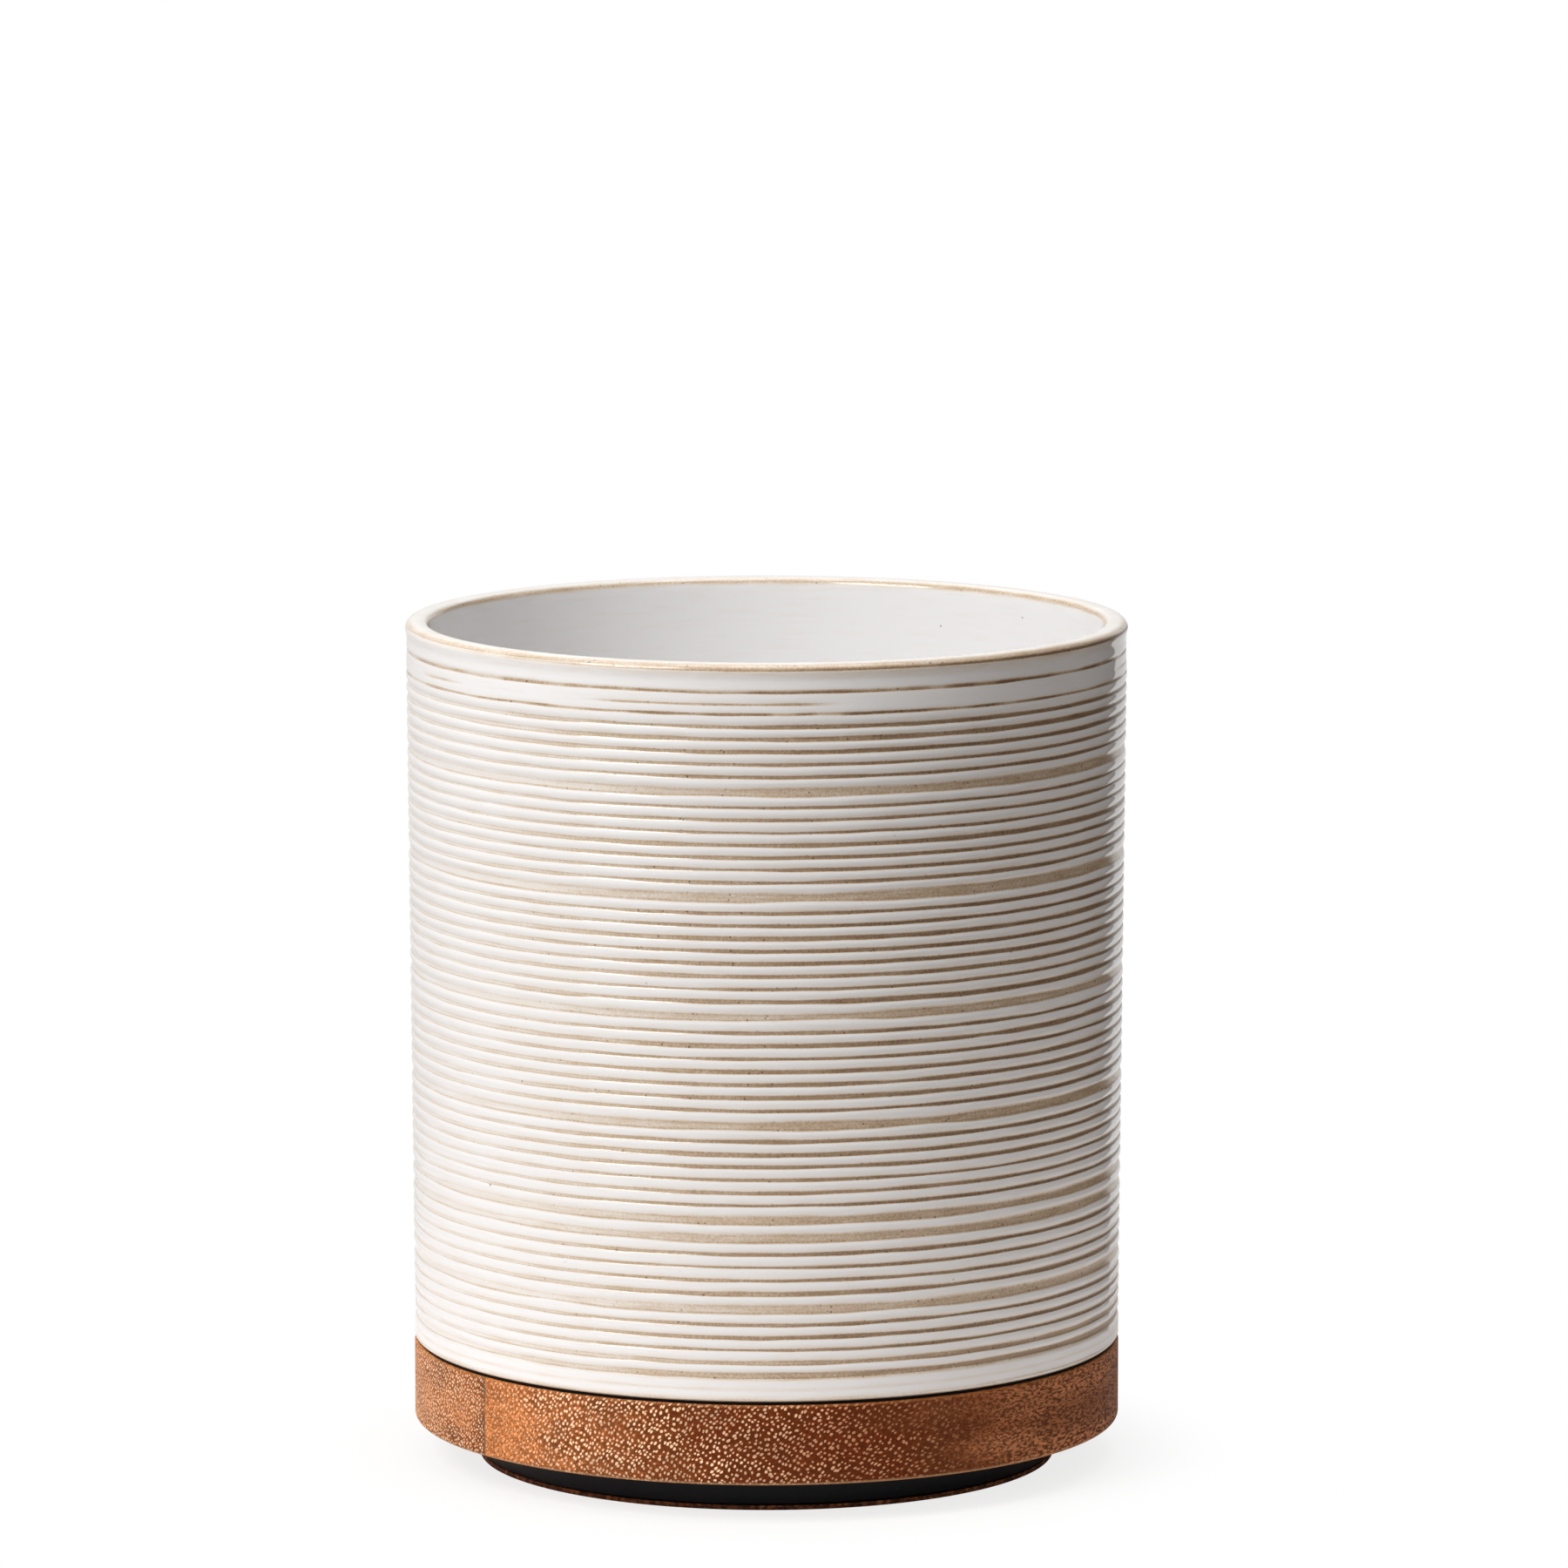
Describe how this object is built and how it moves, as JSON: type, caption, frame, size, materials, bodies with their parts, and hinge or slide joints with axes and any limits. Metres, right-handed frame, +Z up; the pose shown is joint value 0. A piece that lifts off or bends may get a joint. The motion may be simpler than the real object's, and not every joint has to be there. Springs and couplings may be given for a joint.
{
  "type": "utensil crock",
  "caption": "Round ribbed stoneware crock, open at the top, that lifts off a turning wooden base with a ball-bearing swivel and a cork pad.",
  "frame": {"origin": "centre of the cork pad's lower face, on the turning axis, at floor level", "axes": "+Z up along the turning axis, -Y towards the front of the picture, +X to its right"},
  "size_m": [0.1628, 0.1628, 0.1908],
  "materials": {
    "glaze": "glossy cream-white glaze that breaks to tan in the turned grooves and at the rim",
    "gasket_rubber": "matte black",
    "main_wood": "oiled orange-brown hardwood, end grain with pale flecks at the front",
    "side_wood": "oiled orange-brown hardwood",
    "plate_plastic": "moulded black",
    "screw_steel": "zinc plated",
    "cage_nylon": "natural nylon",
    "ball_steel": "polished bearing steel",
    "base_plastic": "satin black",
    "cork": "dark agglomerated cork, thin sheet",
    "pivot_steel": "zinc plated"
  },
  "bodies": {
    "base": {"swivel_base": "base_plastic", "cork_pad": "cork", "pivot_washer": "pivot_steel"},
    "ball_ring": {"ball_cage": "cage_nylon", "bearing_balls": "ball_steel"},
    "turntable": {"main_stave": "main_wood", "side_stave": "side_wood", "seat_gasket": "gasket_rubber", "swivel_plate": "plate_plastic", "plate_screws": "screw_steel", "pivot_bolt": "pivot_steel", "pivot_nut": "pivot_steel"},
    "crock": {"crock": "glaze"}
  },
  "joints": [
    {"name": "turntable_spin", "type": "hinge", "parent": "base", "child": "turntable", "pos_m": [0, 0, 0.0086], "axis": [0, 0, 1], "continuous": true},
    {"name": "ball_ring_spin", "type": "hinge", "parent": "base", "child": "ball_ring", "pos_m": [0, 0, 0.0086], "axis": [0, 0, 1], "continuous": true},
    {"name": "crock_lift", "type": "slide", "parent": "turntable", "child": "crock", "axis": [0, 0, 1], "range_m": [0, 0.06]}
  ],
  "couplings": [
    {"joint": "ball_ring_spin", "follows": "turntable_spin", "ratio": 0.5}
  ]
}
